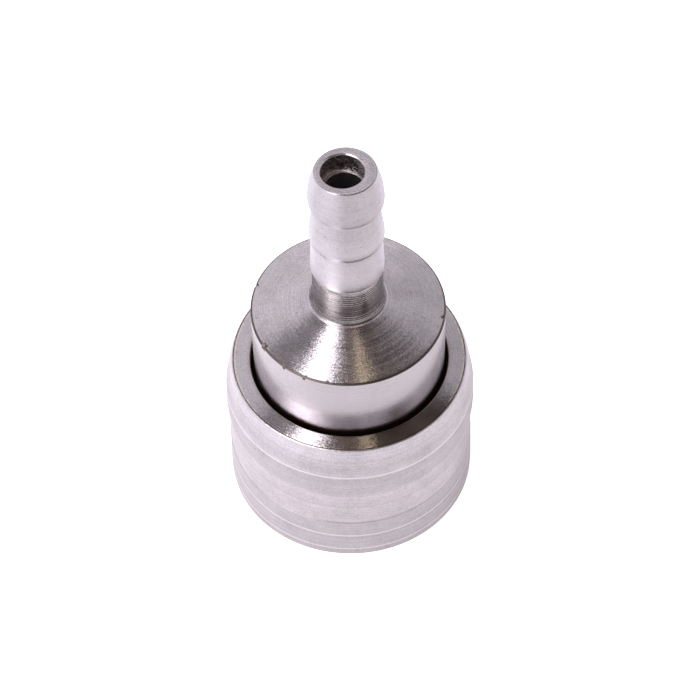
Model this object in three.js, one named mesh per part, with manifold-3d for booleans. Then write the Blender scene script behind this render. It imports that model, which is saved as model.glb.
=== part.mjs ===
// Quick-release gas coupling socket with a barbed hose tail, as an assembly of separate pieces.
// Units are millimetres. The axis is +Z and the origin is the centre of the mouth's front face.
// The mating plug enters from below, at -Z, and the hose pushes on from above.
import * as THREE from "three";
import { mergeVertices } from "three/addons/utils/BufferGeometryUtils.js";
import Module from "manifold-3d";

const wasm = await Module();
wasm.setup();

// ---- Driving dimensions -------------------------------------------------------------------
const SEGMENTS = 40; // facets round a turned piece
const SEAL_SEGMENTS = 32; // facets round a seal or washer
const RUN = 0.1; // gap left between two pieces that touch on the real object

// Hose tail
const TAIL_R = 10.1; // the cylinder that shows above the sleeve
const TAIL_EDGE_Z = 27.3; // upper rim of that cylinder
const TAIL_EDGE_CHAMFER = 0.12;
const TAIL_SKIRT_Z = 17.3; // lower end of the tail, hidden in the sleeve
const BARB_BASE_R = 4.08;
const BARB_BASE_Z = 28.95;
const BARB_LIP = 0.2; // height of the lip round the foot of the neck
const BARB_TOP_Z = 48.3;
const BARB_PITCH = 4.9;
// The barbs, lowest first: the widest radius, the radius at the upper end, and how hollow the taper is
const BARBS = [
  { widest: 3.78, top: 3.6, hollow: 0.8 },
  { widest: 3.84, top: 3.36, hollow: 0.8 },
  { widest: 3.84, top: 3.1, hollow: 0.45 },
];
const NECK_R = 3.6;
const HOSE_BORE_R = 1.9; // gas passage
const MOUTH_BORE_R = 2.1; // counterbore at the hose end
const MOUTH_BORE_DEPTH = 2.35;
const MOUTH_CHAMFER = 0.25;
const MOUTH_BORE_OFFSET = -0.28; // the counterbore is drilled slightly off the axis

// Socket body
const BODY_R = 8.2;
const BODY_TOP_Z = 21.7;
const COLLAR_BORE_R = 6.1; // takes the plug's 12 mm collar
const COLLAR_DEPTH = 10.0;
const MOUTH_LEAD_IN = 0.7;
const LEDGE_R = 4.9; // lets the plug's tip through to its seal
const LEDGE_THICKNESS = 0.8;
const STACK_BORE_R = 6.4; // bore that holds the seal, the valve seat and the valve
const THREAD_DEPTH = 0.45;
const THREAD_PITCH = 1.0;
const THREAD_LENGTH = 3.0;

// Locking balls
const BALL_R = 1.5875; // one eighth of an inch across
const BALL_COUNT = 8;
const BALL_Z = 7.7;
const BALL_INTRUSION = 0.9; // how far a ball stands into the collar bore
const BALL_GAP = 0.06;
const BALL_CENTRE_R = COLLAR_BORE_R - BALL_INTRUSION + BALL_R;

// Sleeve
const SLEEVE_R = 13.32; // widest, just above the grip band and near the mouth
const SLEEVE_CREST_R = 13.25;
const SLEEVE_GRIP_R = 13.1; // the shallow grip band, slightly hollow
const SLEEVE_GRIP_EDGE_R = 13.2;
const SLEEVE_BOTTOM_Z = 0.5;
const SLEEVE_TOP_Z = 19.0;
const SLEEVE_TOP_R = 12.4; // outside edge of the flat top face
const SLEEVE_SHOULDER_R = 12.86;
const SLEEVE_SHOULDER_Z = 17.5;
const SLEEVE_CREST_TOP_Z = 15.2;
const SLEEVE_CREST_BOTTOM_Z = 4.25;
const GRIP_TOP_Z = 12.3;
const GRIP_BOTTOM_Z = 6.55;
const SLEEVE_BORE_R = 10.5; // runs over the tail's cylinder
const SLEEVE_LAND_R = 8.45; // holds the balls in
const SLEEVE_LAND_TOP_Z = 9.0;
const SLEEVE_RAMP_TOP_Z = BALL_Z + 0.2;
const SLEEVE_RECESS_R = 9.42; // lets the balls out
const SLEEVE_RAMP_SLOPE = 0.27; // radius gained per millimetre of height
const SLEEVE_LIP_R = 8.8;
const SLEEVE_LIP_BOTTOM_Z = 2.4;
const SLEEVE_LIP_TOP_Z = 3.0;
const SLEEVE_COUNTERBORE_R = 9.6;

// Stop ring
const RING_GROOVE_R = 7.4;
const RING_OUTER_R = 9.2;
const RING_BOTTOM_Z = 1.3;
const RING_THICKNESS = 1.0;
const RING_OPENING = Math.PI / 5; // angle of the gap in the ring

// Springs: mean radius, wire radius and total turns
const SLEEVE_SPRING = { radius: 9.25, wire: 0.45, turns: 4.0, closed: 1.0 };
const VALVE_SPRING = { radius: 3.9, wire: 0.35, turns: 4.5, closed: 1.0 };

// Seals and valve
const PLUG_SEAL_SECTION_R = 0.98;
const PLUG_SEAL_MEAN_R = 5.35;
const SEAT_RING_HEIGHT = 3.1;
const SEAT_BORE_R = 4.7;
const SEAT_CONE_TOP_R = 5.7;
const VALVE_SEAL_SECTION_R = 0.5;
const POPPET_NOSE_R = 4.0;
const POPPET_NOSE_BORE_R = 2.8;
const POPPET_HEAD_R = 5.75;
const POPPET_HEAD_TOP_Z = 17.2;
const STEM_R = 1.4;
const STEM_TOP_Z = 25.0;
const GUIDE_BOTTOM_Z = 24.3;
const GUIDE_THICKNESS = 1.2;
const GUIDE_PORT_R = 0.85;
const GUIDE_PORT_COUNT = 6;
const CHAMBER_TOP_Z = GUIDE_BOTTOM_Z + GUIDE_THICKNESS + RUN;
const OUTLET_R = 3.3; // the funnel from the chamber into the gas passage
const OUTLET_HEIGHT = 1.8;
const GASKET_THICKNESS = 0.8;

// ---- Materials ----------------------------------------------------------------------------
function metal(color, roughness) {
  return new THREE.MeshStandardMaterial({ color, roughness, metalness: 1 });
}
const nickel = metal(0xc9c2c2, 0.3);
const satinNickel = metal(0xd6d0d6, 0.45);
const springSteel = metal(0xa8a49e, 0.35);
const ballSteel = metal(0xdcdcde, 0.08);
const brass = metal(0xb99a55, 0.35);
const rubber = new THREE.MeshStandardMaterial({ color: 0x17171a, roughness: 0.75, metalness: 0 });

// ---- Shape helpers ------------------------------------------------------------------------
// A closed outline of [radius, height] points, turned round +Z. It runs up the outside and down the bore.
function turned(outline, segments = SEGMENTS) {
  const closed = [...outline, outline[0]];
  const points = closed.map(([r, z]) => new THREE.Vector2(r, z));
  return new THREE.LatheGeometry(points, segments).rotateX(Math.PI / 2);
}

// The same for a piece without a bore: the outline starts and ends on the axis.
function turnedSolid(outline, segments = SEGMENTS) {
  const points = outline.map(([r, z]) => new THREE.Vector2(r, z));
  return new THREE.LatheGeometry(points, segments).rotateX(Math.PI / 2);
}

// A round seal of the given mean radius, centred at height z.
function sealRing(meanRadius, sectionRadius, z) {
  const sides = 8;
  return new THREE.TorusGeometry(meanRadius, sectionRadius, sides, SEAL_SEGMENTS).translate(0, 0, z);
}

function toSolid(geometry) {
  const bare = geometry.clone();
  bare.deleteAttribute("normal");
  bare.deleteAttribute("uv");
  const merged = mergeVertices(bare, 1e-4);
  return new wasm.Manifold(
    new wasm.Mesh({
      numProp: 3,
      vertProperties: merged.attributes.position.array,
      triVerts: new Uint32Array(merged.index.array),
    }),
  );
}

function toGeometry(solid) {
  const mesh = solid.getMesh();
  const geometry = new THREE.BufferGeometry();
  geometry.setAttribute("position", new THREE.BufferAttribute(mesh.vertProperties, 3));
  geometry.setIndex(new THREE.BufferAttribute(mesh.triVerts, 1));
  geometry.computeVertexNormals();
  return geometry;
}

// The base geometry with every tool geometry cut out of it.
function cut(base, tools) {
  const solid = tools.reduce((left, tool) => left.subtract(toSolid(tool)), toSolid(base));
  return toGeometry(solid);
}

// A cylinder along +Z between two heights, for cutting.
function drill(radius, bottom, top) {
  const segments = 12;
  const length = top - bottom;
  return new THREE.CylinderGeometry(radius, radius, length, segments)
    .rotateX(Math.PI / 2)
    .translate(0, 0, bottom + length / 2);
}

// Ring-shaped thread crests and roots between two heights, as outline points going up.
function threadPoints(rootR, crestR, bottom, length) {
  const points = [];
  for (let z = bottom; z < bottom + length - THREAD_PITCH / 2; z += THREAD_PITCH) {
    points.push([rootR, z], [crestR, z + THREAD_PITCH / 2]);
  }
  points.push([rootR, bottom + length]);
  return points;
}

// The centre line of a compression spring whose end turns are closed up.
class CoilCurve extends THREE.Curve {
  constructor(spring, bottom, top) {
    super();
    this.spring = spring;
    this.low = bottom + spring.wire;
    this.high = top - spring.wire;
    this.closedPitch = 2.2 * spring.wire;
  }
  getPoint(t, target = new THREE.Vector3()) {
    const { radius, turns, closed } = this.spring;
    const turn = t * turns;
    const closedRise = closed * this.closedPitch;
    const openRise = this.high - this.low - 2 * closedRise;
    const open = THREE.MathUtils.clamp((turn - closed) / (turns - 2 * closed), 0, 1);
    const first = Math.min(turn, closed) / closed;
    const last = Math.max(turn - (turns - closed), 0) / closed;
    const height = this.low + closedRise * (first + last) + openRise * open;
    const angle = 2 * Math.PI * turn;
    return target.set(radius * Math.cos(angle), radius * Math.sin(angle), height);
  }
}

function coil(spring, bottom, top) {
  const halfSides = 3; // an arc is drawn with twice this many sides
  const stepsPerTurn = 20;
  const section = new THREE.Shape().absarc(0, 0, spring.wire, 0, 2 * Math.PI);
  return new THREE.ExtrudeGeometry(section, {
    steps: Math.round(spring.turns * stepsPerTurn),
    curveSegments: halfSides,
    bevelEnabled: false,
    extrudePath: new CoilCurve(spring, bottom, top),
  });
}

function piece(name, geometry, material) {
  const mesh = new THREE.Mesh(geometry, material);
  mesh.name = name;
  return mesh;
}

// ---- Pieces -------------------------------------------------------------------------------
// One barb from its lower step upwards: a short round step out, then a long taper in.
function barbPoints(barb, footR, stepZ, topZ) {
  const { widest, top, hollow } = barb;
  const taper = widest - top;
  const length = topZ - stepZ;
  return [
    [footR, stepZ],
    [footR + 0.7 * (widest - footR), stepZ + 0.22],
    [widest, stepZ + 0.75],
    [widest - (hollow - 0.33) * taper, stepZ + 0.45 * length],
    [widest - hollow * taper, stepZ + 0.75 * length],
  ];
}

function hoseTail() {
  const boreThreadR = BODY_R + RUN;
  const gasketTop = BODY_TOP_Z + GASKET_THICKNESS + RUN;
  const lowestStep = BARB_TOP_Z - BARBS.length * BARB_PITCH + 0.3;
  const barbs = BARBS.flatMap((barb, i) => {
    const footR = i > 0 ? BARBS[i - 1].top : NECK_R - 0.05;
    const step = lowestStep + i * BARB_PITCH;
    return barbPoints(barb, footR, step, Math.min(step + BARB_PITCH, BARB_TOP_Z));
  });
  const outside = [
    [TAIL_R, TAIL_SKIRT_Z],
    [TAIL_R, TAIL_EDGE_Z - TAIL_EDGE_CHAMFER],
    [TAIL_R - TAIL_EDGE_CHAMFER, TAIL_EDGE_Z],
    [BARB_BASE_R, BARB_BASE_Z],
    [BARB_BASE_R, BARB_BASE_Z + BARB_LIP],
    [NECK_R + 0.3, BARB_BASE_Z + BARB_LIP + 0.1],
    [NECK_R + 0.1, BARB_BASE_Z + 0.8],
    [NECK_R, lowestStep - 0.4],
    ...barbs,
    [BARBS.at(-1).top, BARB_TOP_Z],
  ];
  const inside = [
    [HOSE_BORE_R, BARB_TOP_Z],
    [HOSE_BORE_R, CHAMBER_TOP_Z + OUTLET_HEIGHT],
    [OUTLET_R, CHAMBER_TOP_Z],
    [STACK_BORE_R, CHAMBER_TOP_Z],
    [STACK_BORE_R, gasketTop],
    [boreThreadR, gasketTop],
    [boreThreadR, TAIL_SKIRT_Z + THREAD_LENGTH],
    ...threadPoints(boreThreadR, boreThreadR - THREAD_DEPTH, TAIL_SKIRT_Z, THREAD_LENGTH).reverse().slice(1),
  ];
  const mouth = turnedSolid([
    [0, BARB_TOP_Z - MOUTH_BORE_DEPTH],
    [MOUTH_BORE_R, BARB_TOP_Z - MOUTH_BORE_DEPTH],
    [MOUTH_BORE_R, BARB_TOP_Z - MOUTH_CHAMFER],
    [MOUTH_BORE_R + 2 * MOUTH_CHAMFER, BARB_TOP_Z + MOUTH_CHAMFER],
    [0, BARB_TOP_Z + MOUTH_CHAMFER],
  ]);
  mouth.translate(MOUTH_BORE_OFFSET, 0, 0);
  return piece("hose_tail", cut(turned([...outside, ...inside]), [mouth]), nickel);
}

function ballPockets() {
  const pocketR = BALL_R + BALL_GAP;
  const tools = [];
  for (let i = 0; i < BALL_COUNT; i += 1) {
    const angle = (2 * Math.PI * i) / BALL_COUNT;
    const reach = BODY_R - BALL_CENTRE_R + 1;
    const seat = new THREE.SphereGeometry(pocketR, 12, 8);
    const hole = new THREE.CylinderGeometry(pocketR, pocketR, reach, 12)
      .rotateZ(Math.PI / 2)
      .translate(reach / 2, 0, 0);
    for (const tool of [seat, hole]) {
      tools.push(tool.translate(BALL_CENTRE_R, 0, BALL_Z).rotateZ(angle));
    }
  }
  return tools;
}

function socketBody() {
  const ledgeTop = COLLAR_DEPTH + LEDGE_THICKNESS;
  const threadTop = TAIL_SKIRT_Z + THREAD_LENGTH;
  const crestR = BODY_R - RUN;
  const outline = [
    [BODY_R - 0.3, 0],
    [BODY_R, 0.3],
    [BODY_R, RING_BOTTOM_Z - RUN],
    [RING_GROOVE_R, RING_BOTTOM_Z - RUN],
    [RING_GROOVE_R, RING_BOTTOM_Z + RING_THICKNESS + RUN],
    [BODY_R, RING_BOTTOM_Z + RING_THICKNESS + RUN],
    [BODY_R, TAIL_SKIRT_Z - 1.2],
    [crestR - THREAD_DEPTH, TAIL_SKIRT_Z - 0.7],
    ...threadPoints(crestR - THREAD_DEPTH, crestR - RUN, TAIL_SKIRT_Z, THREAD_LENGTH).map(threadShift),
    [crestR - THREAD_DEPTH, threadTop + 0.1],
    [crestR - THREAD_DEPTH, BODY_TOP_Z],
    [STACK_BORE_R, BODY_TOP_Z],
    [STACK_BORE_R, ledgeTop],
    [LEDGE_R, ledgeTop],
    [LEDGE_R, COLLAR_DEPTH],
    [COLLAR_BORE_R, COLLAR_DEPTH],
    [COLLAR_BORE_R, MOUTH_LEAD_IN],
    [COLLAR_BORE_R + MOUTH_LEAD_IN, 0],
  ];
  return piece("socket_body", cut(turned(outline), ballPockets()), nickel);
}

// Body crests sit opposite the tail's roots, half a pitch up from the tail's crests.
function threadShift([radius, z]) {
  return [radius, z - THREAD_PITCH / 2];
}

function sleeve() {
  const rampDrop = (SLEEVE_RECESS_R - SLEEVE_LAND_R) / SLEEVE_RAMP_SLOPE;
  const outline = [
    [SLEEVE_R - 0.25, SLEEVE_BOTTOM_Z],
    [SLEEVE_R - 0.02, SLEEVE_BOTTOM_Z + 0.3],
    [SLEEVE_R, SLEEVE_BOTTOM_Z + 1.3],
    [SLEEVE_CREST_R, SLEEVE_CREST_BOTTOM_Z],
    [SLEEVE_GRIP_EDGE_R, GRIP_BOTTOM_Z],
    [SLEEVE_GRIP_R + 0.02, GRIP_BOTTOM_Z + 0.15],
    [SLEEVE_GRIP_R - 0.02, (GRIP_BOTTOM_Z + GRIP_TOP_Z) / 2],
    [SLEEVE_GRIP_R + 0.02, GRIP_TOP_Z - 0.15],
    [SLEEVE_R - 0.02, GRIP_TOP_Z],
    [SLEEVE_R, GRIP_TOP_Z + 0.7],
    [SLEEVE_CREST_R, SLEEVE_CREST_TOP_Z],
    [SLEEVE_SHOULDER_R, SLEEVE_SHOULDER_Z],
    [SLEEVE_TOP_R + 0.06, SLEEVE_TOP_Z - 0.08],
    [SLEEVE_TOP_R - 0.05, SLEEVE_TOP_Z],
    [SLEEVE_BORE_R + 0.1, SLEEVE_TOP_Z],
    [SLEEVE_BORE_R, SLEEVE_TOP_Z - 0.1],
    [SLEEVE_BORE_R, SLEEVE_LAND_TOP_Z],
    [SLEEVE_LAND_R, SLEEVE_LAND_TOP_Z],
    [SLEEVE_LAND_R, SLEEVE_RAMP_TOP_Z],
    [SLEEVE_RECESS_R, SLEEVE_RAMP_TOP_Z - rampDrop],
    [SLEEVE_RECESS_R, SLEEVE_LIP_TOP_Z],
    [SLEEVE_LIP_R, SLEEVE_LIP_TOP_Z],
    [SLEEVE_LIP_R, SLEEVE_LIP_BOTTOM_Z],
    [SLEEVE_COUNTERBORE_R, SLEEVE_LIP_BOTTOM_Z],
    [SLEEVE_COUNTERBORE_R, SLEEVE_BOTTOM_Z + 0.3],
    [SLEEVE_COUNTERBORE_R + 0.3, SLEEVE_BOTTOM_Z],
  ];
  return piece("sleeve", turned(outline), satinNickel);
}

function stopRing() {
  const inner = RING_GROOVE_R + RUN;
  const halfSides = 18; // an arc is drawn with twice this many sides
  const start = RING_OPENING / 2;
  const end = 2 * Math.PI - start;
  const section = new THREE.Shape().absarc(0, 0, RING_OUTER_R, start, end);
  section.absarc(0, 0, inner, end, start, true);
  const geometry = new THREE.ExtrudeGeometry(section, {
    depth: RING_THICKNESS,
    curveSegments: halfSides,
    bevelEnabled: false,
  });
  return piece("stop_ring", geometry.translate(0, 0, RING_BOTTOM_Z), springSteel);
}

function lockingBalls() {
  const balls = [];
  for (let i = 0; i < BALL_COUNT; i += 1) {
    const angle = (2 * Math.PI * i) / BALL_COUNT;
    const ball = piece(`locking_ball_${i + 1}`, new THREE.SphereGeometry(BALL_R, 14, 8), ballSteel);
    ball.position.set(BALL_CENTRE_R * Math.cos(angle), BALL_CENTRE_R * Math.sin(angle), BALL_Z);
    ball.rotation.z = angle;
    balls.push(ball);
  }
  return balls;
}

const sealBottomZ = COLLAR_DEPTH + LEDGE_THICKNESS + RUN / 2;
const seatBottomZ = sealBottomZ + 2 * PLUG_SEAL_SECTION_R + RUN / 2;
const seatTopZ = seatBottomZ + SEAT_RING_HEIGHT;
const headBottomZ = seatTopZ + 0.15;

function plugSeal() {
  const z = sealBottomZ + PLUG_SEAL_SECTION_R;
  return piece("plug_seal", sealRing(PLUG_SEAL_MEAN_R, PLUG_SEAL_SECTION_R, z), rubber);
}

function valveSeatRing() {
  const outer = STACK_BORE_R - RUN;
  const coneRise = SEAT_CONE_TOP_R - SEAT_BORE_R;
  const outline = [
    [outer - 0.3, seatBottomZ],
    [outer, seatBottomZ + 0.3],
    [outer, seatTopZ],
    [SEAT_CONE_TOP_R, seatTopZ],
    [SEAT_BORE_R, seatTopZ - coneRise],
    [SEAT_BORE_R, seatBottomZ],
  ];
  return piece("valve_seat_ring", turned(outline, SEAL_SEGMENTS), brass);
}

function valvePoppet() {
  const noseBottom = seatBottomZ - 0.1;
  const crownTop = headBottomZ - 1.0;
  const shaft = [
    [0, crownTop],
    [POPPET_NOSE_BORE_R, crownTop],
    [POPPET_NOSE_BORE_R, noseBottom],
    [POPPET_NOSE_R, noseBottom],
    [POPPET_NOSE_R, headBottomZ],
    [POPPET_HEAD_R, headBottomZ],
    [POPPET_HEAD_R, POPPET_HEAD_TOP_Z - 0.2],
    [POPPET_HEAD_R - 0.2, POPPET_HEAD_TOP_Z],
    [STEM_R, POPPET_HEAD_TOP_Z],
    [STEM_R, STEM_TOP_Z - 0.3],
    [STEM_R - 0.3, STEM_TOP_Z],
    [0, STEM_TOP_Z],
  ];
  const portWidth = 1.6;
  const portHeight = 1.3;
  const port = (angle) =>
    new THREE.BoxGeometry(2.5 * POPPET_NOSE_R, portWidth, portHeight)
      .translate(0, 0, crownTop - portHeight / 2)
      .rotateZ(angle);
  const body = cut(turnedSolid(shaft, SEAL_SEGMENTS), [port(0), port(Math.PI / 2)]);
  return piece("valve_poppet", body, brass);
}

function valveSeal() {
  const z = headBottomZ - RUN / 2 - VALVE_SEAL_SECTION_R;
  const meanR = POPPET_NOSE_R + RUN / 2 + VALVE_SEAL_SECTION_R;
  return piece("valve_seal", sealRing(meanR, VALVE_SEAL_SECTION_R, z), rubber);
}

function valveGuide() {
  const outer = STACK_BORE_R - RUN;
  const top = GUIDE_BOTTOM_Z + GUIDE_THICKNESS;
  const outline = [
    [outer, GUIDE_BOTTOM_Z],
    [outer, top],
    [STEM_R + RUN, top],
    [STEM_R + RUN, GUIDE_BOTTOM_Z],
  ];
  const portCircleR = (STEM_R + POPPET_NOSE_R) / 2 - RUN;
  const ports = [];
  for (let i = 0; i < GUIDE_PORT_COUNT; i += 1) {
    const angle = (2 * Math.PI * i) / GUIDE_PORT_COUNT;
    const hole = drill(GUIDE_PORT_R, GUIDE_BOTTOM_Z - 1, top + 1);
    ports.push(hole.translate(portCircleR, 0, 0).rotateZ(angle));
  }
  return piece("valve_guide", cut(turned(outline, SEAL_SEGMENTS), ports), brass);
}

function tailGasket() {
  const bottom = BODY_TOP_Z + RUN / 2;
  const outline = [
    [BODY_R - RUN, bottom],
    [BODY_R - RUN, bottom + GASKET_THICKNESS],
    [STACK_BORE_R + RUN, bottom + GASKET_THICKNESS],
    [STACK_BORE_R + RUN, bottom],
  ];
  return piece("tail_gasket", turned(outline, SEAL_SEGMENTS), rubber);
}

function sleeveSpring() {
  const bottom = SLEEVE_LAND_TOP_Z + RUN / 2;
  const top = TAIL_SKIRT_Z - RUN / 2;
  return piece("sleeve_spring", coil(SLEEVE_SPRING, bottom, top), springSteel);
}

function valveSpring() {
  const bottom = POPPET_HEAD_TOP_Z + RUN / 2;
  const top = GUIDE_BOTTOM_Z - RUN / 2;
  return piece("valve_spring", coil(VALVE_SPRING, bottom, top), springSteel);
}

// ---- Assembly -----------------------------------------------------------------------------
const coupling = new THREE.Group();
coupling.add(hoseTail(), socketBody(), stopRing(), tailGasket());
coupling.add(plugSeal(), valveSeatRing(), valveGuide(), valvePoppet(), valveSeal(), valveSpring());
coupling.add(sleeve(), sleeveSpring(), ...lockingBalls());

export default coupling;
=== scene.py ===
"""Looks of the quick-release gas coupling socket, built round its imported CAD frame. Blender 4.5, metres."""
import math
import random

import bmesh
import bpy
from mathutils import Matrix, Vector


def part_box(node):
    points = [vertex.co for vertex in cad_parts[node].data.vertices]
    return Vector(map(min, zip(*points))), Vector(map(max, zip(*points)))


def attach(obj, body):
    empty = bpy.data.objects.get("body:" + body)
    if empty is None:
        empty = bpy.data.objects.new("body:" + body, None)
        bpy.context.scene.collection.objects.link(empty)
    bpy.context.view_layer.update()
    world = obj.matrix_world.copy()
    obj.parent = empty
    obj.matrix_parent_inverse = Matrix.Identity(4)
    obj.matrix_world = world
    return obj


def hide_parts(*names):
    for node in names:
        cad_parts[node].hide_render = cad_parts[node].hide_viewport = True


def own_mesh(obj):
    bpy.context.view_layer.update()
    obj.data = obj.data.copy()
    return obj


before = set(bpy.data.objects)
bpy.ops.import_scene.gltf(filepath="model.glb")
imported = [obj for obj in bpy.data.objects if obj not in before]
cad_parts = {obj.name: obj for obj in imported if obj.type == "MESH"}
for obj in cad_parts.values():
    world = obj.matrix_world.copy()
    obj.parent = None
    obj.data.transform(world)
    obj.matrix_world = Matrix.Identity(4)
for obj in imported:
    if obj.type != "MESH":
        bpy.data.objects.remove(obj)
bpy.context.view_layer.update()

MM = 0.001
SEGMENTS = 384  # facets round a large turned piece
SMALL_SEGMENTS = 160
EDGE = 0.07  # mm, the rounding of a machined edge
ARC_STEP = 15  # degrees that one facet of a rounded corner turns
SOFT_SHARE, EDGE_SHARE = 0.47, 0.3  # how much of a span a soft and a machined corner may take
SUPPORT = 0.04  # mm, from a rounded corner to the point that holds its neighbour flat
SUPPORT_SHARE = 0.1  # how much of a span that may be
BALL_COUNT = 8


# ---- Outlines ---------------------------------------------------------------------------------
# An outline is a list of (radius, height) points in millimetres, read from a CAD node and refined.
def section(node, azimuth=0.0):
    """The outline of a turned CAD node where the half-plane at this azimuth, in degrees, cuts its mesh."""
    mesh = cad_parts[node].data
    along = Vector((math.cos(math.radians(azimuth)), math.sin(math.radians(azimuth)), 0))
    across = Vector((-along.y, along.x, 0))
    touch = 0.002 * MM

    def point(index):
        co = mesh.vertices[index].co
        if abs(co.dot(across)) > touch or co.dot(along) < -touch:
            return None
        return round(co.dot(along) / MM, 3), round(co.z / MM, 3)

    neighbours = {}
    for edge in mesh.edges:
        a, b = (point(index) for index in edge.vertices)
        if a and b and a != b:
            neighbours.setdefault(a, set()).add(b)
            neighbours.setdefault(b, set()).add(a)
    ends = [p for p, others in neighbours.items() if len(others) == 1]
    start = min(ends, key=lambda p: p[1]) if ends else max(neighbours)
    outline, previous = [start], None
    while True:
        onward = sorted(p for p in neighbours[outline[-1]] if p != previous)
        if not onward or (len(outline) > 2 and start in onward):
            return outline
        previous = outline[-1]
        outline.append(onward[-1])


def eased(outline, edge=EDGE, soft_below=0.0, closed=True):
    """The outline with its corners rounded. A corner that turns by less than soft_below degrees is rounded
    over most of the spans beside it, and any other by the edge radius, a number or edge(radius, height), with
    a supporting point on each side."""
    result = []
    count = len(outline)
    for i, (radius, height) in enumerate(outline):
        if not closed and i in (0, count - 1):
            result.append((radius, height))
            continue
        corner = Vector((radius, height))
        before = Vector(outline[i - 1]) - corner
        after = Vector(outline[(i + 1) % count]) - corner
        turn = math.pi - before.angle(after)
        steps = max(1, round(math.degrees(turn) / ARC_STEP))
        reach = min(before.length, after.length)
        soft = math.degrees(turn) < soft_below
        rounding = edge(radius, height) if callable(edge) else edge
        trim = SOFT_SHARE * reach if soft else min(rounding * math.tan(turn / 2), EDGE_SHARE * reach)
        support = 0.0 if soft else min(SUPPORT, SUPPORT_SHARE * reach)
        start = corner + before.normalized() * trim
        end = corner + after.normalized() * trim
        if support:
            result.append(tuple(start + before.normalized() * support))
        for k in range(steps + 1):
            t = k / steps
            result.append(tuple(start * (1 - t) ** 2 + corner * 2 * t * (1 - t) + end * t**2))
        if support:
            result.append(tuple(end + after.normalized() * support))
    return result


def refined(outline, centre, reach, step):
    """The closed outline with extra points, step apart, on its spans within reach of a point."""
    result = []
    for here, there in zip(outline, outline[1:] + outline[:1]):
        result.append(here)
        count = round(math.dist(here, there) / step)
        for k in range(1, count):
            t = k / count
            point = (here[0] + (there[0] - here[0]) * t, here[1] + (there[1] - here[1]) * t)
            if math.dist(point, centre) < reach:
                result.append(point)
    return result


# ---- Meshes -----------------------------------------------------------------------------------
def new_piece(name, body, node, mesh):
    """A finished piece that stands for a CAD node and rides on its body."""
    piece = bpy.data.objects.new(name, mesh)
    bpy.context.scene.collection.objects.link(piece)
    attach(piece, body)
    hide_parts(node)
    return piece


def turned_mesh(name, outline, segments=SEGMENTS, closed=True, shape=None, sweep=(0.0, 2 * math.pi)):
    """An outline turned round the Z axis. shape(radius, height, angle) may move a point, in millimetres."""
    start, end = sweep
    whole = math.isclose(end - start, 2 * math.pi)
    columns = segments if whole else segments + 1
    rows = len(outline)
    verts, faces = [], []
    for i in range(columns):
        angle = start + (end - start) * i / segments
        for radius, height in outline:
            x, y, z = shape(radius, height, angle) if shape else polar(radius, height, angle)
            verts.append((x * MM, y * MM, z * MM))
    for i in range(columns if whole else columns - 1):
        here, there = i * rows, (i + 1) % columns * rows
        for j in range(rows if closed else rows - 1):
            k = (j + 1) % rows
            faces.append((here + j, here + k, there + k, there + j))
    if not whole:
        faces.append(tuple(range(rows)))
        faces.append(tuple((columns - 1) * rows + j for j in reversed(range(rows))))
    mesh = bpy.data.meshes.new(name)
    mesh.from_pydata(verts, [], faces)
    return finished(mesh)


def polar(radius, height, angle):
    return radius * math.cos(angle), radius * math.sin(angle), height


def finished(mesh, sharp_degrees=40.0):
    """Merges doubled points, turns every face outwards and shades the mesh smoothly."""
    work = bmesh.new()
    work.from_mesh(mesh)
    bmesh.ops.remove_doubles(work, verts=work.verts, dist=1e-4 * MM)
    bmesh.ops.dissolve_degenerate(work, edges=work.edges, dist=1e-4 * MM)
    bmesh.ops.recalc_face_normals(work, faces=work.faces)
    work.to_mesh(mesh)
    work.free()
    mesh.shade_smooth()
    mesh.set_sharp_from_angle(angle=math.radians(sharp_degrees))
    return mesh


def dress(piece, materials, region=None):
    """Gives the piece its materials. region(radius, height, normal) says which one a face takes."""
    mesh = piece.data
    for material in materials:
        mesh.materials.append(material)
    if region:
        for face in mesh.polygons:
            x, y, z = face.center / MM
            face.material_index = region(math.hypot(x, y), z, face.normal)


# ---- Materials --------------------------------------------------------------------------------
class Net:
    """Short calls for a shader node tree. A number, a tuple or another node's socket can feed any input."""

    def __init__(self, tree):
        tree.nodes.clear()
        self.tree = tree

    def node(self, kind, inputs=(), output=0, **settings):
        made = self.tree.nodes.new("ShaderNode" + kind)
        for key, value in settings.items():
            setattr(made, key, value)
        pairs = inputs.items() if isinstance(inputs, dict) else enumerate(inputs)
        for key, value in pairs:
            if isinstance(value, bpy.types.NodeSocket):
                self.tree.links.new(value, made.inputs[key])
            elif value is not None:
                made.inputs[key].default_value = value
        return made.outputs[output] if len(made.outputs) else None

    def math(self, operation, *values, clamp=False):
        return self.node("Math", values, operation=operation, use_clamp=clamp)

    def vector(self, operation, *values):
        scalar = operation in ("DOT_PRODUCT", "LENGTH")
        return self.node("VectorMath", values, output=1 if scalar else 0, operation=operation)

    def scaled(self, vector, factor):
        return self.node("VectorMath", {0: vector, "Scale": factor}, operation="SCALE")

    def combine(self, x, y, z):
        return self.node("CombineXYZ", (x, y, z))

    def parts(self, vector):
        split = self.node("SeparateXYZ", (vector,)).node
        return split.outputs[0], split.outputs[1], split.outputs[2]

    def noise(self, vector, scale, detail=2.0, roughness=0.5):
        inputs = {"Vector": vector, "Scale": scale, "Detail": detail, "Roughness": roughness}
        return self.node("TexNoise", inputs)

    def smooth(self, value, low, high, start=0.0, end=1.0):
        """From start to end as value goes from low to high, with soft ends."""
        return self.node("MapRange", (value, low, high, start, end), interpolation_type="SMOOTHSTEP")

    def mix(self, factor, a, b):
        """A colour between a and b."""
        made = self.node("Mix", {0: factor}, output=2, data_type="RGBA")
        for socket, value in ((made.node.inputs[6], a), (made.node.inputs[7], b)):
            if isinstance(value, bpy.types.NodeSocket):
                self.tree.links.new(value, socket)
            else:
                socket.default_value = (*value, 1.0)
        return made


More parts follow.
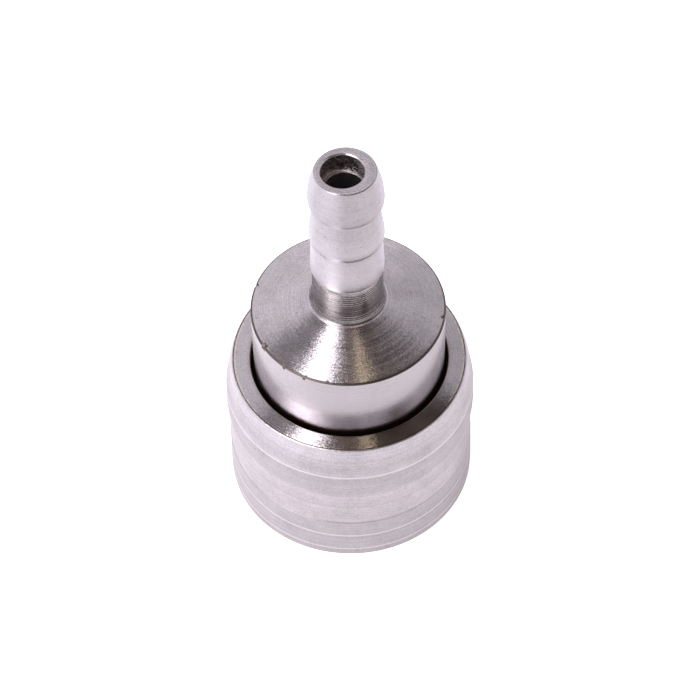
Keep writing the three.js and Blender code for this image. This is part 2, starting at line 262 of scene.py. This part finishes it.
BLOTCHES, GRIME, PITS, GRAIN = 0.35, 0.9, 2.6, 6.0  # how many of each there are to a millimetre
GRIME_SHADE = (0.62, 0.577, 0.533)  # what grime leaves of the metal's colour
PIT_COLOUR = (0.12, 0.10, 0.09)


def turned_metal(name, colour, roughness, anisotropy=0.6, lines=6.0, tilt=0.03, lean=0.0, grain=0.02,
                 mottle=0.15, dirt=0.2, pits=0.3, tint=None):
    """Metal turned on a lathe. lines is the number of tool marks per millimetre, tilt is how far they turn
    the surface, lean is its steady slope away from the axis, and grain is how far it is turned at random.
    mottle is how strongly its shade varies, dirt how deep its grime is and pits how dark its pits are.
    tint(net, base, radius, height) gives the colour with something laid over it."""
    material = bpy.data.materials.new(name)
    material.use_nodes = True
    net = Net(material.node_tree)
    place = net.node("TexCoord", output=3)
    x, y, z = net.parts(net.scaled(place, 1 / MM))
    radius = net.math("SQRT", net.math("ADD", net.math("MULTIPLY", x, x), net.math("MULTIPLY", y, y)))
    rings = net.combine(radius, z, 0.0)

    blotches = net.noise(place, BLOTCHES / MM, 4.0, 0.6)
    fine_rings = net.noise(rings, lines, 3.0, 0.65)
    broad_rings = net.noise(rings, lines / 6, 2.0)
    grain_inputs = {"Vector": place, "Scale": GRAIN / MM, "Detail": 2.0, "Roughness": 0.7}
    grains = net.node("TexNoise", grain_inputs, output=1)
    grain_out, grain_round, grain_shade = net.parts(net.vector("SUBTRACT", grains, (0.5, 0.5, 0.5)))

    # Tool marks turn the surface towards or away from the axis, and the grain turns it any way.
    geometry = net.node("NewGeometry", output=1).node
    normal = geometry.outputs[1]
    px, py, _ = net.parts(geometry.outputs[0])
    around = net.vector("NORMALIZE", net.combine(net.math("MULTIPLY", py, -1.0), px, 0.0))
    outward = net.vector("CROSS_PRODUCT", around, normal)
    waves = net.math("SUBTRACT", net.math("ADD", fine_rings, net.math("MULTIPLY", broad_rings, 0.5)), 0.75)
    slope = net.math("MULTIPLY_ADD", waves, 2 * tilt, lean)
    swing = 5 * grain  # the noise keeps to the middle fifth of its range
    slope = net.math("MULTIPLY_ADD", grain_out, swing, slope)
    turned = net.vector("ADD", normal, net.scaled(outward, slope))
    turned = net.vector("ADD", turned, net.scaled(around, net.math("MULTIPLY", grain_round, swing)))
    bent = net.vector("NORMALIZE", turned)

    shade = 1.0
    for pattern, share in ((blotches, 0.8), (fine_rings, 1.2)):
        shade = net.math("MULTIPLY_ADD", net.math("SUBTRACT", pattern, 0.5), share * mottle, shade)
    shade = net.math("MULTIPLY_ADD", grain_shade, 1.5 * mottle, shade)
    grime = net.smooth(net.noise(place, GRIME / MM, 5.0, 0.75), 0.50, 0.72, 0.0, dirt)
    grimy = [c * left for c, left in zip(colour, GRIME_SHADE)]
    base = net.scaled(net.mix(grime, colour, grimy), shade)
    pit = net.smooth(net.noise(place, PITS / MM, 2.0, 0.6), 0.70, 0.76, 0.0, pits)
    base = net.mix(pit, base, PIT_COLOUR)
    if tint:
        base = tint(net, base, radius, z)
    rough = net.math("MULTIPLY_ADD", net.math("SUBTRACT", blotches, 0.5), 0.12, roughness, clamp=True)
    shader = net.node("BsdfPrincipled", {
        "Base Color": base, "Metallic": 1.0, "Roughness": rough, "Normal": bent,
        "Anisotropic": anisotropy, "Tangent": outward,
    })
    net.node("OutputMaterial", (shader,))
    return material


def drawn_metal(name, colour, roughness):
    """Wire, balls and stamped parts: fine scratches and a little wear."""
    material = bpy.data.materials.new(name)
    material.use_nodes = True
    net = Net(material.node_tree)
    place = net.node("TexCoord", output=3)
    scratches = net.noise(net.vector("MULTIPLY", place, (2.0, 2.0, 14.0)), 1.2 / MM, 4.0, 0.7)
    base = net.mix(net.smooth(scratches, 0.3, 0.7), [0.8 * c for c in colour], colour)
    rough = net.smooth(scratches, 0.3, 0.7, roughness * 0.7, roughness * 1.4)
    bump = net.node("Bump", {"Strength": 0.15, "Distance": 0.01 * MM, "Height": scratches})
    shader = net.node("BsdfPrincipled", {
        "Base Color": base, "Metallic": 1.0, "Roughness": rough, "Normal": bump,
    })
    net.node("OutputMaterial", (shader,))
    return material


def rubber_material(name, colour):
    material = bpy.data.materials.new(name)
    material.use_nodes = True
    net = Net(material.node_tree)
    place = net.node("TexCoord", output=3)
    dust = net.noise(place, 3.0 / MM, 4.0, 0.7)
    base = net.mix(net.smooth(dust, 0.45, 0.75, 0.0, 0.35), colour, (0.16, 0.16, 0.17))
    bump = net.node("Bump", {"Strength": 0.3, "Distance": 0.02 * MM, "Height": dust})
    rough = net.smooth(dust, 0.3, 0.7, 0.45, 0.7)
    shader = net.node("BsdfPrincipled", {"Base Color": base, "Roughness": rough, "Normal": bump})
    net.node("OutputMaterial", (shader,))
    return material


NICKEL = (0.655, 0.613, 0.65)
# a brown stain on the sleeve's top face, and the colour of the painted shade in the sleeve's creases
STAIN_AND_CREASE_SHADE = (0.20, 0.13, 0.10)
RUST = (0.30, 0.17, 0.10)
NECK_FOOT_DARK, GROOVE_SHADE = (0.075, 0.066, 0.066), (0.08, 0.06, 0.055)
DULL_NICKEL, BARE_METAL = (0.62, 0.58, 0.56), (0.54, 0.51, 0.50)
# the first colour is the painted shade on the tail's rim
TAIL_RIM_SHADE, BROWNED = (0.15, 0.12, 0.11), (0.42, 0.36, 0.33)
CONE_SHADE, FACE_SHADE = 0.93, 0.85  # of the nickel's colour
PAINTED_CREST_HIGHLIGHT, RUBBED_WARM = (0.97, 0.95, 0.97), (0.95, 0.80, 0.60)
FACE_RIM_SHADE = (0.06, 0.045, 0.04)


def gap_stain(net, base, radius, height):
    """Brown staining where the tail runs into the sleeve."""
    patchy = net.noise(net.node("TexCoord", output=3), 0.5 / MM, 3.0, 0.6)
    reach = net.math("MULTIPLY_ADD", patchy, 1.8, sleeve_top - 0.1)
    return net.mix(net.smooth(net.math("SUBTRACT", reach, height), 0.0, 0.6, 0.0, 0.8), base, RUST)


def barb_painted_light(net, base, radius, height):
    """The ribs with painted light and shade: lighter towards their foot, darker towards the open end."""
    return net.scaled(base, net.smooth(height, 34.0, 44.0, 1.15, 0.86))


def neck_dark_foot_and_groove_shade(net, base, radius, height):
    """The bare turned neck, darkest at its foot, with painted shade on its grooves where they are seen edge
    on.
    """
    patchy = net.noise(net.combine(0.0, 0.0, height), 3.0, 3.0, 0.7)
    depth = net.math("MULTIPLY_ADD", patchy, 2.0, net.math("SUBTRACT", NECK_HIGH - 2.4, height))
    base = net.mix(net.smooth(depth, -1.5, 2.6, 0.05, 0.6), base, NECK_FOOT_DARK)
    # painted shade: darker where the neck is seen edge on
    edge_on = net.node("LayerWeight", (0.5,), output=1)
    return net.mix(net.smooth(edge_on, 0.45, 0.85, 0.0, 0.6), base, GROOVE_SHADE)


SLEEVE_BANDS = ((4.25, 0.96), (6.6, 0.98), (12.3, 1.10), (15.2, 0.95), (17.5, 1.0))  # upper end and shade
SLEEVE_SHOULDER_SHADE = 1.07  # above the bands
# the crests get a painted highlight
SLEEVE_CRESTS = (1.8, 4.25, 15.2)
SLEEVE_CREASE_SHADES = ((6.6, 0.25), (12.22, 0.8))  # height and strength of the painted shade in each crease


def sleeve_bands_and_painted_light(net, base, radius, height):
    """A slightly different finish on each band of the sleeve, with a painted highlight along its crests and
    painted shade in its creases.
    """
    shade = SLEEVE_SHOULDER_SHADE
    for upper_end, band in reversed(SLEEVE_BANDS):
        above = net.smooth(height, upper_end - 0.05, upper_end + 0.05)
        shade = net.math("MULTIPLY_ADD", above, net.math("SUBTRACT", shade, band), band)
    base = net.scaled(base, shade)
    # a painted highlight along each crest
    for crest in SLEEVE_CRESTS:
        away = net.math("ABSOLUTE", net.math("SUBTRACT", height, crest))
        base = net.mix(net.smooth(away, 0.03, 0.14, 0.8, 0.0), base, PAINTED_CREST_HIGHLIGHT)
    # painted shade in the creases at the edges of the recessed band
    for crease, depth in SLEEVE_CREASE_SHADES:
        away = net.math("ABSOLUTE", net.math("SUBTRACT", height, crease))
        base = net.mix(net.smooth(away, 0.04, 0.16, depth, 0.0), base, STAIN_AND_CREASE_SHADE)
    return base


def face_wear_and_rim_shade(net, base, radius, height):
    """The sleeve's top face: brown towards the bore, a rubbed line inside its rim and painted shade along the
    rim.
    """
    patchy = net.noise(net.node("TexCoord", output=3), 1.6 / MM, 3.0, 0.7)
    gap = net.math("SUBTRACT", SLEEVE_FACE_R, radius)
    inner = net.math("MULTIPLY_ADD", patchy, 0.8, gap)
    base = net.mix(net.smooth(inner, 1.7, 2.4, 0.0, 0.35), base, STAIN_AND_CREASE_SHADE)
    from_line = net.math("ABSOLUTE", net.math("SUBTRACT", gap, 0.24))
    line, broken = net.smooth(from_line, 0.03, 0.09, 1.0, 0.0), net.smooth(patchy, 0.42, 0.58, 0.0, 0.7)
    base = net.mix(net.math("MULTIPLY", line, broken), base, RUBBED_WARM)
    # painted shade, broken up, along the outer rim
    rim, broken = net.smooth(gap, 0.06, 0.16, 1.0, 0.0), net.smooth(patchy, 0.35, 0.5, 0.35, 0.9)
    return net.mix(net.math("MULTIPLY", rim, broken), base, FACE_RIM_SHADE)


# ---- Pieces -----------------------------------------------------------------------------------
tail_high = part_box("hose_tail")[1] / MM
sleeve_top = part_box("sleeve")[1].z / MM
SLEEVE_FACE_R = max(r for r, z in section("sleeve") if z > sleeve_top - 0.01)

MOUTH_R = 2.15  # counterbore at the hose end
MOUTH_SHIFT = -0.28  # it is drilled a little off the axis
MOUTH_CHAMFER = 0.12
MOUTH_DEPTH = 2.35
BARB_END_EDGE = 0.16
BARB_END_LOW, BARB_END_R = 40.0, 2.8  # that edge is above this height and outside this radius
SOFT_CORNER = 40  # degrees, corners of the tail that turn less are softly rounded
NECK_LOW, NECK_HIGH = 29.2, 33.85
NECK_R_RANGE = (3.0, 4.3)
GROOVED_R = 3.2  # the neck's grooves are outside this radius
GROOVE_PITCH, GROOVE_DEPTH = 0.3, 0.03
TAIL_RIM_Z = 27.3
NICKS = ((162, 0.22, 0.10), (210, 0.34, 0.20), (229, 0.12, 0.06), (243, 0.10, 0.05), (258, 0.08, 0.04),
         (350, 0.22, 0.10), (300, 0.08, 0.04), (95, 0.15, 0.05))  # degrees, half width and depth in mm
NICK_REACH = 0.45  # mm from the rim at which a nick dies out
BARB, CONE, RIM, BORE, NECK, MOUTH_EDGE, SHADED_RIM = range(7)  # the tail's materials


def grooved(outline, low, high, least_radius, pitch, depth):
    """The outline with shallow tool grooves of uneven depth between two heights."""
    chance = random.Random(3)
    result = []
    for here, there in zip(outline, outline[1:] + outline[:1]):
        result.append(here)
        inside = all(low <= z <= high and r > least_radius for r, z in (here, there))
        count = round(math.dist(here, there) / pitch)
        if not inside or count < 2:
            continue
        for k in range(count):
            for share, sink in ((0.25, 0.0), (0.5, chance.uniform(0.4, 1.0)), (0.75, 0.0)):
                t = (k + share) / count
                radius = here[0] + (there[0] - here[0]) * t - depth * sink
                result.append((radius, here[1] + (there[1] - here[1]) * t))
    return result


def nick(radius, height, angle):
    """How far the rim of the tail is knocked in at this point."""
    rim_r = tail_high.x
    near = 1 - math.hypot(radius - rim_r, height - TAIL_RIM_Z) / NICK_REACH
    if near <= 0:
        return 0.0
    depth = 0.0
    for degrees, half_width, knock in NICKS:
        away = math.remainder(angle - math.radians(degrees), 2 * math.pi) * rim_r
        depth += knock * max(0.0, 1 - (away / half_width) ** 2)
    return depth * near


def tail_finishes():
    """The tail's materials, in the order of their names above."""
    return (
        turned_metal("barb_nickel", NICKEL, roughness=0.34, anisotropy=0.5, lines=7, tilt=0.07, grain=0.02,
                     mottle=0.35, dirt=0.3, pits=0.6, tint=barb_painted_light),
        turned_metal("cone_nickel", [CONE_SHADE * c for c in NICKEL], roughness=0.19, anisotropy=0.75,
                     lines=9, tilt=0.12, grain=0.026, mottle=0.62, dirt=0.35, pits=0.6),
        turned_metal("rim_nickel", NICKEL, roughness=0.21, anisotropy=0.4, lines=5, tilt=0.02, grain=0.015,
                     mottle=0.2, tint=gap_stain),
        turned_metal("bore_nickel", DULL_NICKEL, roughness=0.25, anisotropy=0.2, lines=3, tilt=0.3,
                     grain=0.35, mottle=1.0, pits=0.9),
        turned_metal("neck_nickel", BARE_METAL, roughness=0.15, anisotropy=0.6, lines=4, tilt=0.12,
                     grain=0.035, mottle=1.1, dirt=0.5, tint=neck_dark_foot_and_groove_shade),
        turned_metal("edge_nickel", NICKEL, roughness=0.17, anisotropy=0.2, lines=4, tilt=0.05, grain=0.05,
                     mottle=0.3, dirt=0.4),
        # painted shade: the rim's rounded edge, its nicks too, is coloured dark
        turned_metal("shaded_rim", TAIL_RIM_SHADE, roughness=0.40, anisotropy=0.2, lines=4, tilt=0.05, grain=0.05,
                     mottle=0.5),
    )


def hose_tail():
    top = tail_high.z
    mouth_floor = top - MOUTH_DEPTH
    kept = [(r, z) for r, z in section("hose_tail") if r >= MOUTH_R + MOUTH_CHAMFER or z < mouth_floor]
    barb_end = next(i for i, (r, z) in enumerate(kept) if math.isclose(z, top, abs_tol=0.01))
    passage_r = kept[barb_end - 1][0]
    mouth = [
        (passage_r, mouth_floor),
        (MOUTH_R, mouth_floor),
        (MOUTH_R, top - MOUTH_CHAMFER),
        (MOUTH_R + MOUTH_CHAMFER, top),
    ]

    def edge(radius, height):
        return BARB_END_EDGE if radius > BARB_END_R and height > BARB_END_LOW else EDGE

    outline = eased(kept[:barb_end] + mouth + kept[barb_end:], edge, SOFT_CORNER)
    outline = grooved(outline, NECK_LOW, NECK_HIGH, GROOVED_R, GROOVE_PITCH, GROOVE_DEPTH)
    outline = refined(outline, (tail_high.x, TAIL_RIM_Z), reach=0.6, step=0.07)

    def shape(radius, height, angle):
        knock = nick(radius, height, angle)
        x, y, z = polar(radius - knock, height - 0.6 * knock, angle)
        if radius < MOUTH_R + 2 * MOUTH_CHAMFER and height > mouth_floor - 0.2:
            share = min(1.0, max(0.5, (radius - passage_r) / (MOUTH_R - passage_r)))
            x += MOUTH_SHIFT * share
        return x, y, z

    mesh = turned_mesh("tail", outline, shape=shape)
    piece = new_piece("tail", "socket", "hose_tail", mesh)

    def region(radius, height, normal):
        if radius < MOUTH_R + 0.45 and height > mouth_floor - 1 and abs(normal.z) < 0.95:
            return MOUTH_EDGE if height > top - MOUTH_CHAMFER - 0.05 else BORE
        # the rim's rounded edge takes the painted shade
        if radius > tail_high.x - 0.5 and 0.05 < normal.z < 0.93:
            return SHADED_RIM
        if radius > tail_high.x - 0.1:
            return RIM
        if NECK_R_RANGE[0] < radius < NECK_R_RANGE[1] and NECK_LOW < height < NECK_HIGH:
            return NECK
        return CONE if height < NECK_HIGH or height > top - 0.05 else BARB

    dress(piece, tail_finishes(), region)


BURR = 0.02  # mm, on the rim of the sleeve's top face
SLEEVE_SATIN, SLEEVE_FACE, SLEEVE_BORE = range(3)  # the sleeve's materials


def sleeve_finishes():
    """The sleeve's materials, in the order of their names above."""
    return (
        turned_metal("sleeve_satin", NICKEL, roughness=0.36, anisotropy=0.3, lines=5, tilt=0.03, grain=0.02,
                     mottle=0.50, dirt=0.3, pits=0.4, tint=sleeve_bands_and_painted_light),
        turned_metal("sleeve_face", [FACE_SHADE * c for c in NICKEL], roughness=0.18, anisotropy=0.75,
                     lines=7, tilt=0.06, lean=0.36, grain=0.03, mottle=0.35, dirt=0.4, pits=0.6,
                     tint=face_wear_and_rim_shade),
        turned_metal("sleeve_bore", BROWNED, roughness=0.35, anisotropy=0.5, lines=5, tilt=0.06, pits=0.6),
    )


def sleeve():
    chance = random.Random(11)
    burrs = [chance.uniform(-1, 1) for _ in range(SEGMENTS)]

    def shape(radius, height, angle):
        near = 1 - math.hypot(radius - SLEEVE_FACE_R - 0.05, height - sleeve_top + 0.04) / 0.12
        burr = BURR * burrs[round(angle / (2 * math.pi) * SEGMENTS) % SEGMENTS] * max(0.0, near)
        return polar(radius + burr, height + 0.6 * burr, angle)

    outline = eased(section("sleeve"), edge=0.06)
    outline = refined(outline, (SLEEVE_FACE_R, sleeve_top), reach=0.4, step=0.04)
    mesh = turned_mesh("sleeve", outline, shape=shape)
    piece = new_piece("sliding_sleeve", "sleeve", "sleeve", mesh)

    def region(radius, height, normal):
        if radius > SLEEVE_FACE_R:
            return SLEEVE_SATIN
        return SLEEVE_FACE if height > sleeve_top - 0.2 else SLEEVE_BORE

    dress(piece, sleeve_finishes(), region)


def cut(mesh, cutters):
    """The mesh with every cutter mesh taken out of it."""
    body = bpy.data.objects.new("cut_body", mesh)
    tools = [bpy.data.objects.new("cut_tool", cutter) for cutter in cutters]
    for made in (body, *tools):
        bpy.context.scene.collection.objects.link(made)
    for tool in tools:
        modifier = body.modifiers.new("cut", "BOOLEAN")
        modifier.operation, modifier.solver, modifier.object = "DIFFERENCE", "EXACT", tool
    bpy.context.view_layer.update()
    graph = bpy.context.evaluated_depsgraph_get()
    result = bpy.data.meshes.new_from_object(body.evaluated_get(graph))
    for made in (body, *tools):
        bpy.data.objects.remove(made)
    return finished(result)


def cylinder_mesh(radius, start, end, segments=40):
    """A closed cylinder between two points, in millimetres, for cutting."""
    axis = Vector(end) - Vector(start)
    turn = axis.to_track_quat("Z", "Y").to_matrix().to_4x4()
    place = Matrix.Translation((Vector(start) + Vector(end)) / 2 * MM) @ turn
    work = bmesh.new()
    bmesh.ops.create_cone(work, cap_ends=True, segments=segments, radius1=radius * MM, radius2=radius * MM,
                          depth=axis.length * MM, matrix=place)
    mesh = bpy.data.meshes.new("cutter")
    work.to_mesh(mesh)
    work.free()
    return mesh


def ball_mesh(name, centre, radius, subdivisions=4):
    work = bmesh.new()
    place = Matrix.Translation(centre * MM)
    bmesh.ops.create_icosphere(work, subdivisions=subdivisions, radius=radius * MM, matrix=place)
    mesh = bpy.data.meshes.new(name)
    work.to_mesh(mesh)
    work.free()
    mesh.shade_smooth()
    return mesh


BALL_CLEARANCE = 0.06
DRILL_LENGTH = 3.0  # of the drill for a ball's pocket, outwards from the ball


def ball(i):
    """Centre and radius of a locking ball, in millimetres."""
    low, high = (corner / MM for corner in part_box(f"locking_ball_{i}"))
    return (low + high) / 2, (high.z - low.z) / 2


def socket_body():
    outline = eased(section("socket_body", azimuth=18))
    mesh = turned_mesh("body", outline, SMALL_SEGMENTS)
    cutters = []
    for i in range(1, BALL_COUNT + 1):
        centre, radius = ball(i)
        outward = Vector((centre.x, centre.y, 0)).normalized()
        cutters.append(ball_mesh("cutter", centre, radius + BALL_CLEARANCE, 3))
        cutters.append(cylinder_mesh(radius + BALL_CLEARANCE, centre, centre + outward * DRILL_LENGTH))
    piece = new_piece("body", "socket", "socket_body", cut(mesh, cutters))
    dress(piece, (turned_metal("body_nickel", NICKEL, roughness=0.25, tilt=0.04),))


def locking_balls():
    steel = drawn_metal("ball_steel", (0.80, 0.80, 0.81), roughness=0.08)
    for i in range(1, BALL_COUNT + 1):
        centre, radius = ball(i)
        name = f"ball_{i}"
        mesh = ball_mesh(name, centre, radius)
        dress(new_piece(name, name, f"locking_ball_{i}", mesh), (steel,))


def ring_piece(name, body, node, material, azimuth=0.0, edge=EDGE, cutters=()):
    """A small turned piece whose outline comes straight from its CAD node."""
    raw = section(node, azimuth)
    closed = min(r for r, z in raw) > 0.01
    mesh = turned_mesh(name, eased(raw, edge, closed=closed), SMALL_SEGMENTS, closed)
    dress(new_piece(name, body, node, cut(mesh, cutters) if cutters else mesh), (material,))


def seal(name, body, node, material):
    """A round seal, its section a true circle."""
    low, high = (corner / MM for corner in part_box(node))
    section_r = (high.z - low.z) / 2
    mean_r = high.x - section_r
    sides = 24
    outline = []
    for k in range(sides):
        angle = 2 * math.pi * k / sides
        outline.append((mean_r + section_r * math.cos(angle), low.z + section_r * (1 + math.sin(angle))))
    dress(new_piece(name, body, node, turned_mesh(name, outline, SMALL_SEGMENTS)), (material,))


def stop_ring(material):
    """The open ring at the mouth, its ends a gap apart."""
    low, high = (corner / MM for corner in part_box("stop_ring"))
    inner_r, gap = 7.5, math.pi / 5
    outer_r = -low.x
    outline = eased([(outer_r, low.z), (outer_r, high.z), (inner_r, high.z), (inner_r, low.z)], 0.12)
    mesh = turned_mesh("stop_ring", outline, SMALL_SEGMENTS, sweep=(gap / 2, 2 * math.pi - gap / 2))
    dress(new_piece("retaining_ring", "socket", "stop_ring", mesh), (material,))


def coil_mesh(name, radius, wire, turns, low, high):
    """A compression spring between two heights, its first and last turns closed up."""
    steps_per_turn, sides = 56, 14
    low, high = low + wire, high - wire
    closed_rise = 2.2 * wire
    open_rise = high - low - 2 * closed_rise
    total = round(turns * steps_per_turn)
    verts, faces = [], []
    for i in range(total + 1):
        turn = turns * i / total
        first, last = min(turn, 1), max(turn - (turns - 1), 0)
        middle = min(max((turn - 1) / (turns - 2), 0), 1)
        height = low + closed_rise * (first + last) + open_rise * middle
        angle = 2 * math.pi * turn
        for k in range(sides):
            around = 2 * math.pi * k / sides
            reach = radius + wire * math.cos(around)
            verts.append(tuple(v * MM for v in polar(reach, height + wire * math.sin(around), angle)))
    for i in range(total):
        for k in range(sides):
            m = (k + 1) % sides
            faces.append((i * sides + k, i * sides + m, (i + 1) * sides + m, (i + 1) * sides + k))
    faces.append(tuple(range(sides)))
    faces.append(tuple(total * sides + k for k in reversed(range(sides))))
    mesh = bpy.data.meshes.new(name)
    mesh.from_pydata(verts, [], faces)
    return finished(mesh, 60)


def spring(name, body, node, wire, turns, material):
    """A spring in the place of its CAD node, riding on its body. wire is its radius in millimetres."""
    low, high = (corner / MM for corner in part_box(node))
    mesh = coil_mesh(name, high.x - wire, wire, turns, low.z, high.z)
    piece = new_piece(name, body, node, mesh)
    dress(piece, (material,))
    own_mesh(piece)


PORT_COUNT, PORT_R, PORTS_FROM_AXIS = 6, 0.85, 2.6  # through the valve guide
SLOT_R, SLOT_SINK, SLOT_HALF_LENGTH = 0.7, 0.75, 5.0  # the gas slots across the poppet's crown


def inner_pieces():
    steel = drawn_metal("spring_wire", (0.55, 0.54, 0.53), roughness=0.3)
    rubber = rubber_material("nitrile", (0.018, 0.018, 0.02))
    brass = turned_metal("turned_brass", (0.72, 0.52, 0.24), roughness=0.28, anisotropy=0.5, tilt=0.05)
    stop_ring(drawn_metal("ring_steel", (0.42, 0.41, 0.40), roughness=0.3))
    ring_piece("seat_ring", "socket", "valve_seat_ring", brass)
    ring_piece("gasket", "socket", "tail_gasket", rubber)
    guide_low, guide_high = (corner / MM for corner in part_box("valve_guide"))
    ports = []
    for k in range(PORT_COUNT):
        x, y, _ = polar(PORTS_FROM_AXIS, 0, 2 * math.pi * k / PORT_COUNT)
        ports.append(cylinder_mesh(PORT_R, (x, y, guide_low.z - 1), (x, y, guide_high.z + 1)))
    ring_piece("stem_guide", "socket", "valve_guide", brass, azimuth=22.5, cutters=ports)
    slot_z = section("valve_poppet", 45)[0][1] - SLOT_SINK
    slots = []
    for x, y in ((SLOT_HALF_LENGTH, 0), (0, SLOT_HALF_LENGTH)):
        slots.append(cylinder_mesh(SLOT_R, (-x, -y, slot_z), (x, y, slot_z)))
    ring_piece("poppet", "valve", "valve_poppet", brass, azimuth=45, cutters=slots)
    seal("plug_o_ring", "socket", "plug_seal", rubber)
    seal("valve_o_ring", "valve", "valve_seal", rubber)
    spring("sleeve_return_spring", "spring_carriage", "sleeve_spring",
           wire=0.45, turns=4.0, material=steel)
    spring("valve_return_spring", "socket", "valve_spring",
           wire=0.35, turns=4.5, material=steel)


hose_tail()
sleeve()
socket_body()
locking_balls()
inner_pieces()


# ---- Studio -----------------------------------------------------------------------------------
LAVENDER, COOL_WHITE = (1.0, 0.955, 1.0), (0.92, 0.93, 1.04)
CAMERA_DISTANCE = 250.0  # mm, from the point the camera is turned to
CAMERA_ELEVATION = 52.777
CAMERA_ROLL = -1.184
CAMERA_TARGET = (0.097, 0.0, 19.845)
CAMERA_LENS = 121.73


def camera():
    elevation = math.radians(CAMERA_ELEVATION)
    back = Vector((0, -math.cos(elevation), math.sin(elevation)))
    data = bpy.data.cameras.new("camera")
    data.lens = CAMERA_LENS
    data.clip_start, data.clip_end = 0.01, 10
    made = bpy.data.objects.new("camera", data)
    bpy.context.scene.collection.objects.link(made)
    made.rotation_mode = "QUATERNION"
    roll = Matrix.Rotation(math.radians(CAMERA_ROLL), 4, "Z").to_quaternion()
    made.rotation_quaternion = (-back).to_track_quat("-Z", "Y") @ roll
    made.location = (Vector(CAMERA_TARGET) + back * CAMERA_DISTANCE) * MM
    bpy.context.scene.camera = made


# The openings, lamps and dark cloths of the tent, each a soft-edged rectangle of the sky seen from below: its
# centre, half width, half length, turn in degrees, softness, the height at which it starts, and its colour.
SKY_PATCHES = (
    ((0.20, -0.25), 0.60, 0.52, 0, 0.2, 0.1, (0.125, 0.088, 0.072)),  # dark opening over the front
    ((0.30, -0.80), 0.52, 0.35, 0, 0.5, 0.3, (0.20, 0.18, 0.17)),  # dark cloth low in front
    ((0.30, 0.08), 0.10, 0.34, -45, 0.35, 0.1, (0.02, 0.015, 0.012)),  # black strip on the right
    ((-0.38, 0.20), 0.12, 0.22, -19, 0.35, 0.1, (0.15, 0.14, 0.145)),  # grey strip on the left
    ((-0.215, 0.08), 0.080, 0.22, -30, 0.35, 0.1, (3.2, 3.1, 3.2)),  # lamp
    ((0.085, 0.05), 0.022, 0.22, 6, 0.5, 0.1, (1.3, 1.1, 0.75)),  # warm strip beside the lamp
    ((-0.58, -0.52), 0.28, 0.26, 0, 0.7, 0.1, (3.9, 3.85, 3.9)),  # window low on the left
)
CEILING_LEFT, CEILING_RIGHT = (0.84, 0.81, 0.84), (0.55, 0.53, 0.55)
BANNER_COUNT, BANNER_SHADE = 3, (0.22, 0.21, 0.22)
TABLE_GLOW, TABLE_SEEN = 0.26, 1.1  # what the table gives off to the metal and to the camera
TABLE_COLOUR = (0.85, 0.84, 0.85, 1.0)
TABLE_DROP = 0.05  # mm, so that it doesn't share a plane with the mouth


def sky_patch(net, direction, centre, half_width, half_length, turn, soft, lowest):
    """1 inside a rectangle of the sky seen from below, 0 outside it or near the horizon."""
    x, y, z = direction
    c, s = math.cos(math.radians(turn)), math.sin(math.radians(turn))
    dx = net.math("SUBTRACT", x, centre[0])
    dy = net.math("SUBTRACT", y, centre[1])
    across = net.math("ADD", net.math("MULTIPLY", dx, c), net.math("MULTIPLY", dy, s))
    along = net.math("SUBTRACT", net.math("MULTIPLY", dy, c), net.math("MULTIPLY", dx, s))
    inside = net.smooth(z, lowest - 0.1, lowest + 0.1)
    for offset, half in ((across, half_width), (along, half_length)):
        away = net.math("ABSOLUTE", offset)
        share = net.smooth(away, half * (1 - soft), half * (1 + soft), 1.0, 0.0)
        inside = net.math("MULTIPLY", inside, share)
    return inside


def sky():
    """A white tent: bright walls with grey banners, and a grey ceiling with the patches."""
    world = bpy.data.worlds.new("tent")
    bpy.context.scene.world = world
    world.use_nodes = True
    net = Net(world.node_tree)
    x, y, z = net.parts(net.node("TexCoord", output=0))
    ceiling = net.mix(net.smooth(x, -0.45, 0.5), CEILING_LEFT, CEILING_RIGHT)
    colour = net.mix(net.smooth(z, 0.1, 0.5), LAVENDER, ceiling)
    turn = net.math("MULTIPLY_ADD", net.math("ARCTAN2", y, x), BANNER_COUNT, 0.6)
    hung = net.smooth(net.math("SINE", turn), 0.3, 0.9)
    banners = net.math("MULTIPLY", hung, net.smooth(z, 0.1, 0.3, 0.75, 0.0))
    colour = net.mix(banners, colour, BANNER_SHADE)
    for *place, shade in SKY_PATCHES:
        colour = net.mix(sky_patch(net, (x, y, z), *place), colour, shade)
    seen = net.node("LightPath", output=0)
    light = net.node("Background", (net.mix(seen, colour, (1.0, 1.0, 1.0)), 1.0))
    net.node("OutputWorld", (light,))


def table():
    """A pale table, lighter behind and on the left, and clear from below, to let the underside be seen."""
    material = bpy.data.materials.new("table")
    material.use_nodes = True
    net = Net(material.node_tree)
    seen = net.node("LightPath", output=0)
    across, away, _ = net.parts(net.node("NewGeometry"))
    left = net.smooth(across, -0.045, -0.005, 0.30, 0.0)
    right = net.smooth(across, 0.005, 0.06, 0.0, 0.08)
    behind = net.smooth(away, 0.004, 0.030, 0.0, 0.30)
    glow = net.math("ADD", net.math("ADD", net.math("ADD", left, right), behind), TABLE_GLOW)
    glow = net.math("MULTIPLY_ADD", seen, net.math("SUBTRACT", TABLE_SEEN, glow), glow)
    cool = net.math("MULTIPLY", net.math("ADD", left, behind), 3.0, clamp=True)
    light = net.node("Emission", (net.mix(cool, LAVENDER, COOL_WHITE), glow))
    lit = net.node("AddShader", (light, net.node("BsdfDiffuse", (TABLE_COLOUR,))))
    below = net.node("NewGeometry", output=6)
    net.node("OutputMaterial", (net.node("MixShader", (below, lit, net.node("BsdfTransparent"))),))
    bpy.ops.mesh.primitive_plane_add(size=4.0, location=(0, 0, -TABLE_DROP * MM))
    floor = bpy.context.object
    floor.name = "table"
    floor.data.materials.append(material)


camera()
sky()
table()
bpy.context.scene.view_settings.view_transform = "Standard"
